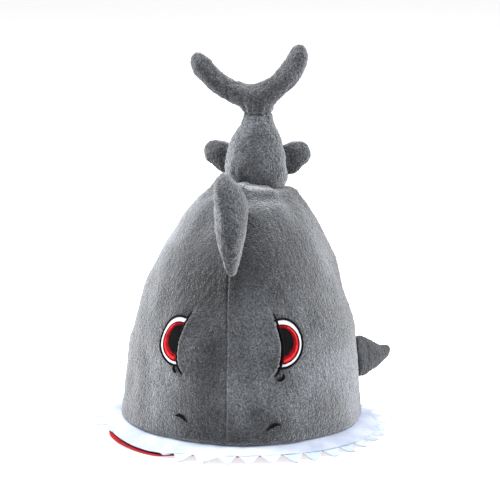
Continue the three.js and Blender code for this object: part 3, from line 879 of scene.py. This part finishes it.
# Pectoral fins: low on the sides, swept back, hollow upper edge and full lower edge
PECTORAL_SECTIONS = [
    (-10, -20, 26, 4.2, 0),
    (-2, -21, 27, 4.8, 0),
    (12, -20.5, 21.5, 6.4, 0),
    (26, -20, 12.5, 7.0, 0),
    (39, -18.5, 5.5, 6.6, 0),
    (50, -16.0, 1.5, 6.0, 0),
    (59, -13.5, -0.5, 5.2, 0),
]
FLATTENED = 0.7  # the left fin is pressed flat against the head
PRESSED_IN = 1.2
PECTORAL_CAP = {"left": 0.6, "right": 1.0}
fins = []
for _, word in SIDES:
    root = fin_frame(f"pectoral_{word}_flap", f"pectoral_{word}_filling")
    sections = rounded(PECTORAL_SECTIONS, 6)
    if word == "left":
        sections = [[*row[:3], row[3] * FLATTENED, row[4] + PRESSED_IN] for row in sections]
    fin = stuff(
        f"pectoral_fin_{word}",
        [loft(fin_rings(root, sections))],
        voxel=2.4,
        pinned=root_held(root, 12),
        seam=(root.at, root.across),
        cap=PECTORAL_CAP[word],
        nodes=[f"pectoral_{word}_{part}" for part in ("panel_top", "panel_under", "filling")],
        slot="dark_plush",
        # the darker copy paints shade on these fins
        material=SHADED,
    )
    fins.append((root, fin, "head", f"pectoral_{word}", -4, 9))

# Pelvic fins: small round flaps behind the sides of the stalk
PELVIC_SECTIONS = [
    (-9, -17, 10, 5.0, 0),
    (-2, -21, 12.5, 5.6, 0),
    (8, -19.5, 13.5, 7.0, 0),
    (17, -13, 13.5, 6.6, 0),
]
PELVIC_TIP = {"left": 12, "right": 9}
for _, word in SIDES:
    root = fin_frame(f"pelvic_{word}_flap", f"pelvic_{word}_filling")
    fin = stuff(
        f"pelvic_fin_{word}",
        [loft(fin_rings(root, rounded(PELVIC_SECTIONS, PELVIC_TIP[word])))],
        voxel=2.2,
        pinned=root_held(root, 8),
        seam=(root.at, root.across),
        cap=1.8,
        nodes=[f"pelvic_{word}_{part}" for part in ("panel_front", "panel_back", "filling")],
        slot="dark_plush",
    )
    fins.append((root, fin, "tail_stalk", f"pelvic_{word}", -3, 6))

# Tail stalk: height above its hinge, middle, half width, half depth
X, Y, Z = np.eye(3)
STALK = [
    (-21, 0.0, 28.0, 19),
    (-12, 0.0, 31.0, 21.4),
    (-3, 0.0, 31.8, 22),
    (8, 0.0, 30.6, 21.4),
    (18, 0.0, 28.0, 20),
    (28, 0.3, 25.0, 18),
    (35, 0.5, 21.6, 16.2),
    (41, 0.8, 17.4, 14.4),
    (46, 1.0, 15.4, 13.2),
    (50, 1.0, 14.7, 12.8),
    (54.5, 1.0, 14.4, 12.4),
]
stalk_rows = np.array(STALK)
stalk_rise = np.linspace(stalk_rows[0, 0], stalk_rows[-1, 0], 26)
stalk_rows = [np.interp(stalk_rise, stalk_rows[:, 0], column) for column in stalk_rows.T]
stalk_rings = [
    oval(TAIL + [shift, 0, rise], X, Y, wide, deep, 32, 0.94)
    for rise, shift, wide, deep in zip(*stalk_rows)
]


def stalk_held(p):
    foot = 1 - smooth(p[:, 2], TAIL[2] - 14, TAIL[2] - 4)
    return np.maximum(foot, smooth(p[:, 2], NECK[2] - 6, NECK[2] - 1))


stalk = stuff(
    "tail_stalk_cover",
    [loft(stalk_rings)],
    voxel=2.6,
    pinned=stalk_held,
    seam=(TAIL, Y),
    cap=1.1,
    nodes=["tail_stalk_panel_front", "tail_stalk_panel_back", "tail_stalk_filling"],
    slot="grey_plush",
    material=GREY,
)

# Tail fin: a crescent. Points on its lower and upper edges, across and above the neck.
LOBE = [
    # lower edge, upper edge
    ((-65.5, 55.5), (-61.5, 60.0)),
    ((-66.3, 50.0), (-55.5, 60.5)),
    ((-64.5, 43.5), (-48.5, 56.0)),
    ((-59.5, 35.5), (-41.5, 48.0)),
    ((-51.5, 26.5), (-34.5, 39.8)),
    ((-40.0, 17.5), (-25.5, 33.3)),
    ((-28.5, 11.0), (-15.6, 30.2)),
    ((-16.0, 4.0), (-7.6, 29.2)),
    ((0.0, 0.5), (0.0, 29.8)),
    ((14.0, 3.0), (6.0, 31.8)),
    ((22.5, 13.5), (14.0, 35.8)),
    ((31.5, 20.3), (20.5, 41.6)),
    ((41.2, 29.6), (26.5, 50.0)),
    ((49.0, 43.0), (31.5, 59.2)),
    ((52.2, 54.5), (35.5, 66.2)),
    ((51.0, 61.5), (39.5, 69.4)),
    ((48.0, 66.0), (44.5, 69.4)),
]
FLAT = [4, 7.4, 9.4, 10.4, 11, 11.4, 11.6, 11.8, 11.8, 11.8, 11.6, 11.2, 10.8, 10.2, 9.2, 7.2, 4]


def lobe_rings():
    t = np.linspace(0, 1, len(LOBE))
    fine = np.linspace(0, 1, 40)
    low = np.stack([np.interp(fine, t, [p[0][k] for p in LOBE]) for k in (0, 1)], -1)
    high = np.stack([np.interp(fine, t, [p[1][k] for p in LOBE]) for k in (0, 1)], -1)
    deep = np.interp(fine, t, FLAT)
    for _ in range(2):
        for rows in (low, high):
            rows[1:-1] = (rows[:-2] + 2 * rows[1:-1] + rows[2:]) / 4
    rings = []
    for a, b, d in zip(low, high, deep):
        middle, half = (a + b) / 2, (b - a) / 2
        centre = NECK + [middle[0], 0, middle[1]]
        along = unit(np.array([half[0], 0, half[1]]))
        rings.append(oval(centre, along, Y, np.linalg.norm(half), d * SLACK, 28, 0.94))
    return rings


# Foot of the tail fin: height above the neck, middle, half width, half depth
FOOT = [(-5, 1, 13.4, 11.4), (0, 1, 14.9, 12.7), (5, 1, 15.8, 12.8), (12, 0, 19, 12.6), (20, -1, 20, 11.5)]
neck_rings = [oval(NECK + [shift, 0, rise], X, Y, wide, deep, 28) for rise, shift, wide, deep in FOOT]
tail_fin = stuff(
    "tail_fin_cover",
    [loft(lobe_rings()), loft(neck_rings)],
    voxel=2.6,
    pinned=lambda p: 1 - smooth(p[:, 2], NECK[2] - 1, NECK[2] + 6),
    seam=(NECK, Y),
    cap=2.2,
    nodes=["tail_fin_panel_front", "tail_fin_panel_back", "tail_fin_filling"],
    slot="dark_plush",
)
blow_up()


def pile(obj, seed, coarse):
    """Uneven stuffing and the first layer of tufts."""
    p, n = points_of(obj)
    bumps = coarse * waves(p, 26, seed) + 0.16 * waves(p, 6, seed + 1) + 0.1 * waves(p, 2.8, seed + 2)
    set_points(obj, p + n * (bumps + RNG.normal(0, 0.1, len(p)))[:, None])


def edge_seam(obj, at, across, depth):
    """The sewn edge where two panels meet: a shallow valley between two soft shoulders."""
    p, n = points_of(obj)
    t = (p - at) @ across
    facing = 1 - smooth(np.abs(n @ across), 0.5, 0.95)
    shape = -depth * np.exp(-((t / 0.9) ** 2)) + 0.35 * depth * np.exp(-(((np.abs(t) - 3) / 1.6) ** 2))
    stitches = 1 + 0.08 * np.sin((p @ np.array([1.0, 0.6, 1.3])) * 1.6)
    set_points(obj, p + n * (shape * stitches * facing)[:, None])


edge_seam(dorsal_obj, *dorsal_seam, 0.3)
for root, fin, *_ in fins:
    edge_seam(fin, root.at, root.across, 0.9)
edge_seam(tail_fin, NECK, Y, 0.9)


def neck_crease(obj):
    """The tight seam round the neck, with puckers running from it."""
    p, n = points_of(obj)
    rise = p[:, 2] - NECK[2]
    angle = np.arctan2(p[:, 1] - NECK[1], p[:, 0] - NECK[0])
    tight = -1.7 * np.exp(-((rise / 1.5) ** 2))
    pucker = 0.55 * np.exp(-((rise / 8) ** 2)) * np.sin(11 * angle)
    side = unit(np.stack([n[:, 0], n[:, 1], 0 * n[:, 2]], -1))
    set_points(obj, p + side * (tight + pucker)[:, None])


neck_crease(stalk)
neck_crease(tail_fin)


def stalk_folds(obj):
    """Side seams, and soft folds where the stalk's cloth is drawn in at its foot."""
    p, n = points_of(obj)
    t = p[:, 1] - TAIL[1]
    facing = 1 - smooth(np.abs(n[:, 1]), 0.4, 0.9)
    out = -0.9 * np.exp(-((t / 1.0) ** 2)) * facing
    angle = np.arctan2(t, p[:, 0] - TAIL[0])
    foot = 1 - smooth(p[:, 2], TAIL[2] - 16, TAIL[2] + 4)
    out += 0.8 * foot * np.sin(8 * angle + 1)
    set_points(obj, p + n * out[:, None])


stalk_folds(stalk)
for number, piece in enumerate(stuffed):
    pile(piece.obj, 40 + 5 * number, 0.6 if piece.obj is stalk else 0.45)


def blend(obj, parent, child, at, out, start, end):
    """Bake the piece's placement into its mesh; parent, child, at, out, start and end are not used."""
    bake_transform(obj)


for piece in stuffed:
    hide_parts(*piece.nodes)
blend(dorsal_obj, "head", "dorsal_fin", dorsal.at, dorsal.out, -5, 8)
for root, fin, parent, child, start, end in fins:
    blend(fin, parent, child, root.at, root.out, start, end)
blend(stalk, "head", "tail_stalk", TAIL, Z, -14, 6)
blend(tail_fin, "tail_stalk", "tail_fin", NECK, Z, 1, 14)

# ---------------------------------------------------------------- embroidery


def strands(starts, ends, place, rise, arch, thick, steps=5):
    """Satin stitches: fine threads laid side by side from starts to ends, over the cloth."""
    t = np.linspace(0, 1, steps + 1)[None, :, None]
    flat = starts[:, None, :] + (ends - starts)[:, None, :] * t
    base, normal = place(flat[..., 0], flat[..., 1])
    hump = rise + arch * 4 * t[..., 0] * (1 - t[..., 0])
    jitter = RNG.normal(0, 0.05, (len(starts), 1))
    centre = base + normal * (hump + jitter)[..., None]
    run = unit(np.gradient(centre, axis=1))
    side = unit(np.cross(normal, run))
    taper = np.ones((1, steps + 1))
    taper[:, [0, -1]] = 0.55
    wide, tall = side * (thick * taper)[..., None], normal * (0.85 * thick * taper)[..., None]
    corners = np.arange(4) / 4 * TAU + TAU / 8
    rings = [centre + wide * math.cos(angle) + tall * math.sin(angle) for angle in corners]
    verts = np.stack(rings, 2)  # strand, step, corner
    count = len(starts)
    per = (steps + 1) * 4
    one = [list(f) for f in grid_faces(steps + 1, 4, closed=True)]
    one += [[3, 2, 1, 0], [steps * 4 + k for k in range(4)]]
    faces = [[i + s * per for i in face] for s in range(count) for face in one]
    return verts.reshape(-1, 3), faces


def eye_place(side):
    def place(u, v):
        theta = side * (math.radians(EYE_AT) + u / EYE_ARC)
        return surface(theta, EYE_Z + v, folds=False)

    return place


def fold_u(v, side):
    return np.interp(v, FOLD_V, FOLD_U) + FOLD_SHIFT[side]


# Rings of the eye: centre, half width and half height of each boundary
EYE_RINGS = [
    (-2.0, 0.0, 22.7, 24.5),
    (-2.0, 0.0, 20.6, 22.4),
    (-2.6, -0.9, 18.7, 18.8),
    (-3.6, 1.1, 13.4, 14.2),
]


def ellipse(ring, angle, side):
    cu, cv, a, b = ring
    return np.stack([EYE_SHIFT[side] + cu + a * np.cos(angle), cv + b * np.sin(angle)], -1)


def clipped(a, b, side, hidden=1.6):
    """Keep stitches that start and end on the eye's side of the brow fold."""
    keep = np.minimum(a[:, 0] - fold_u(a[:, 1], side), b[:, 0] - fold_u(b[:, 1], side)) > -hidden
    return a[keep], b[keep]


PITCH = 0.42  # between neighbouring stitches


def satin_band(outer, inner, side, pitch=PITCH):
    count = int((outer[2] + outer[3]) * math.pi / pitch)
    angle = np.arange(count) / count * TAU
    return clipped(ellipse(outer, angle, side), ellipse(inner, angle, side), side)


def pupil_lines(ring, side):
    """Upright stitches across the pupil, kept whole; only stitches lying far under the fold are left out.
    """
    cu, cv, a, b = ring
    cu += EYE_SHIFT[side]
    u = np.arange(cu - a + 0.2, cu + a, PITCH)
    half = b * np.sqrt(np.clip(1 - ((u - cu) / a) ** 2, 0, 1))
    low, high = np.stack([u, cv - half], -1), np.stack([u, cv + half], -1)
    return clipped(low, high, side, hidden=60)


def line_tube(points, place, rise, thick, steps):
    """A raised cord of stitches along a path drawn on the cloth, thinner at both ends."""
    pts = np.array(points, float)
    t = np.linspace(0, 1, len(pts))
    fine = np.linspace(0, 1, steps)
    path = np.stack([np.interp(fine, t, pts[:, k]) for k in (0, 1)], -1)
    for _ in range(6):
        path[1:-1] = (path[:-2] + 2 * path[1:-1] + path[2:]) / 4
    base, normal = place(path[:, 0], path[:, 1])
    centre = base + normal * rise
    run = unit(np.gradient(centre, axis=0))
    side = unit(np.cross(normal, run))
    size = thick * (0.35 + 0.65 * np.sin(np.pi * np.clip(fine, 0.02, 0.98)) ** 0.5)
    size = size * (1 + 0.08 * np.sin(fine * steps * 2.1))
    wide, tall = side * size[:, None], normal * (0.8 * size[:, None])
    return loft([oval(at, x, y, 1, 1, 8) for at, x, y in zip(centre, wide, tall)])


def sewn(name, made, material, nodes):
    on_head(new_object(name, *made, material), nodes)


NOSTRIL_AT, NOSTRIL_Z = 21.7, 35.0  # degrees round from the face, and height


def nostril_place(side):
    def place(u, v):
        theta = side * (math.radians(NOSTRIL_AT) + u / (R * 0.99))
        return surface(theta, NOSTRIL_Z + v, folds=False)

    return place


# The little hook that ends each line of brow stitches
HOOKS = {
    -1: [(-1.6, -24.0), (-1.4, -27.5), (-4.0, -30.5)],
    1: [(-3.6, -29.0), (-3.0, -32.0), (-5.6, -34.6), (-9.6, -34.4)],
}
STITCHED = {-1: 2.0, 1: 3.4}  # from the fold's edge out to the line stitched along it
GLINT = (-3.0, -0.2, 16.4, 16.9)
OUTLINE, WHITE_RING, IRIS, PUPIL = EYE_RINGS
# Piece, outer ring, inner ring, pitch, then the stitches' rise, arch and thickness, thread and slot
BANDS = [
    ("outline", OUTLINE, WHITE_RING, 0.36, (1.35, 0.4, 0.36), BLACK, "black_thread"),
    ("white", WHITE_RING, IRIS, PITCH, (0.7, 0.3, 0.30), WHITE, "white_thread"),
    ("iris", IRIS, PUPIL, PITCH, (0.6, 0.5, 0.30), RED, "red_thread"),
]


def widened(ring, by):
    cu, cv, wide, tall = ring
    return cu, cv, wide + by, tall + by


for side, word in SIDES:
    place = eye_place(side)
    for part, outside, inside, pitch, look, thread_used, slot in BANDS:
        a, b = satin_band(outside, inside, side, pitch)
        sewn(f"eye_{word}_{part}", strands(a, b, place, *look), thread_used, [f"eye_{part}_{word}"])
    a, b = pupil_lines(PUPIL, side)
    made = strands(a, b, place, 0.65, 0.1, 0.32, 16)
    sewn(f"eye_{word}_pupil", made, CHARCOAL, [f"eye_pupil_{word}"])
    for name, ring, width in (("iris_rim", IRIS, 1.1), ("pupil_edge", PUPIL, 1.5)):
        a, b = satin_band(widened(ring, width / 2 - 0.2), widened(ring, -width / 2 - 0.2), side)
        sewn(f"eye_{word}_{name}", strands(a, b, place, 0.95, 0.25, 0.28), MAROON, [])
    angle = np.radians(np.arange(-82, 66, 1.5))
    middle = ellipse(GLINT, angle, side)
    inward = unit(middle - [GLINT[0] + EYE_SHIFT[side], GLINT[1]])
    half = inward * (0.75 + 0.75 * np.clip(-np.sin(angle), 0, 1))[:, None]
    a, b = clipped(middle + half, middle - half, side)
    sewn(f"eye_{word}_glint", strands(a, b, place, 1.05, 0.3, 0.32), PINK, [])
    crease = [(u + FOLD_SHIFT[side] + STITCHED[side], v) for v, u in zip(FOLD_V[1:-1], FOLD_U[1:-1])]
    made = join([line_tube(crease, place, 2.1, 1.45, 60), line_tube(HOOKS[side], place, 2.2, 1.6, 30)])
    sewn(f"brow_stitch_{word}", made, BLACK, [f"brow_crease_{word}"])

    s = np.linspace(0, 1, 36)
    path = np.stack([-6.8 + 13.6 * s, 2.6 * np.sin(math.pi * s) + 4.8 * s - 4.2 - 3.0 * side], -1)
    across = unit(np.stack([-np.gradient(path[:, 1]), np.gradient(path[:, 0])], -1))
    half = across * (1.75 * np.sin(math.pi * np.clip(s, 0.03, 0.97)) ** 0.55)[:, None]
    made = strands(path + half, path - half, nostril_place(side), 0.9, 0.7, 0.36)
    sewn(f"nostril_{word}_stitch", made, BLACK, [f"nostril_{word}"])

# ---------------------------------------------------------------- stage, light and camera

FLOOR_REACH, FLOOR_FLAT = 14000, 7000  # how far the floor goes, and how far it stays level
FLOOR_DROP = 0.05  # just under the hat, so that no faces coincide


def stage_floor():
    """A plain pale floor that curves up far away on every side."""
    n = Nodes("floor_paper")
    n.link(n.ramp(n.noise(900, 2), [(0.3, (0.48, 0.48, 0.48)), (0.7, (0.5, 0.5, 0.5))]), "Base Color")
    n.set(Roughness=0.9, Specular_IOR_Level=0.1, Emission_Strength=0.74)
    n.shader.inputs["Emission Color"].default_value = (1, 1, 1, 1)
    rings, around = 24, 96
    reach = np.linspace(0, 1, rings + 1)[1:, None] ** 2 * FLOOR_REACH
    angle = np.arange(around)[None, :] / around * TAU
    rise = 0.00011 * np.maximum(reach - FLOOR_FLAT, 0) ** 2 + 0 * angle
    verts = np.stack([reach * np.cos(angle), reach * np.sin(angle), rise - FLOOR_DROP], -1).reshape(-1, 3)
    verts = np.vstack([verts, [0, 0, -FLOOR_DROP]])
    faces = [list(f) for f in grid_faces(rings, around, closed=True, flip=True)]
    faces += [list(f) for f in fan(np.arange(around), rings * around)]
    new_object("floor_sheet", verts, faces, n.material)


stage_floor()
scene = bpy.context.scene
scene.view_settings.view_transform = "Standard"
world = bpy.data.worlds.new("studio")
scene.world = world
world.use_nodes = True
background = world.node_tree.nodes["Background"].inputs
background["Color"].default_value = (1, 1, 1, 1)
background["Strength"].default_value = 0.15


def area(name, at, target, size, power):
    light = bpy.data.lights.new(name, "AREA")
    light.energy = power
    light.size = size
    obj = bpy.data.objects.new(name, light)
    scene.collection.objects.link(obj)
    obj.location = at
    aim = np.array(target) - np.array(at)
    obj.rotation_euler = as_vector(aim).to_track_quat("-Z", "Y").to_euler()


MIDDLE = (0.0, 0.0, 0.18)
# Name, place, aim, size and power
LIGHTS = [
    ("side_right", (1.8, 0.2, 1.5), MIDDLE, 1.0, 112),
    ("side_left", (-1.5, 0.05, 1.8), MIDDLE, 1.0, 145),
    ("top_soft", (-0.1, 0.15, 2.2), MIDDLE, 1.2, 40),
    ("front_soft", (-0.5, -1.9, 2.0), (0.0, 0.0, 0.3), 1.4, 6),
]
for light in LIGHTS:
    area(*light)

AZIMUTH, ELEVATION, DISTANCE = math.radians(6.5), math.radians(11.0), 2.5
AIM_RIGHT, AIM_UP = 0.010, 0.1820
camera_data = bpy.data.cameras.new("camera")
camera_data.lens, camera_data.sensor_width = 180, 36
camera = bpy.data.objects.new("camera", camera_data)
scene.collection.objects.link(camera)
right = np.array([math.cos(AZIMUTH), math.sin(AZIMUTH), 0])
aim = right * AIM_RIGHT + np.array([0, 0, AIM_UP])
level = math.cos(ELEVATION)
back = np.array([math.sin(AZIMUTH) * level, -math.cos(AZIMUTH) * level, math.sin(ELEVATION)])
camera.location = aim + back * DISTANCE
camera.rotation_euler = as_vector(-back).to_track_quat("-Z", "Y").to_euler()
scene.camera = camera
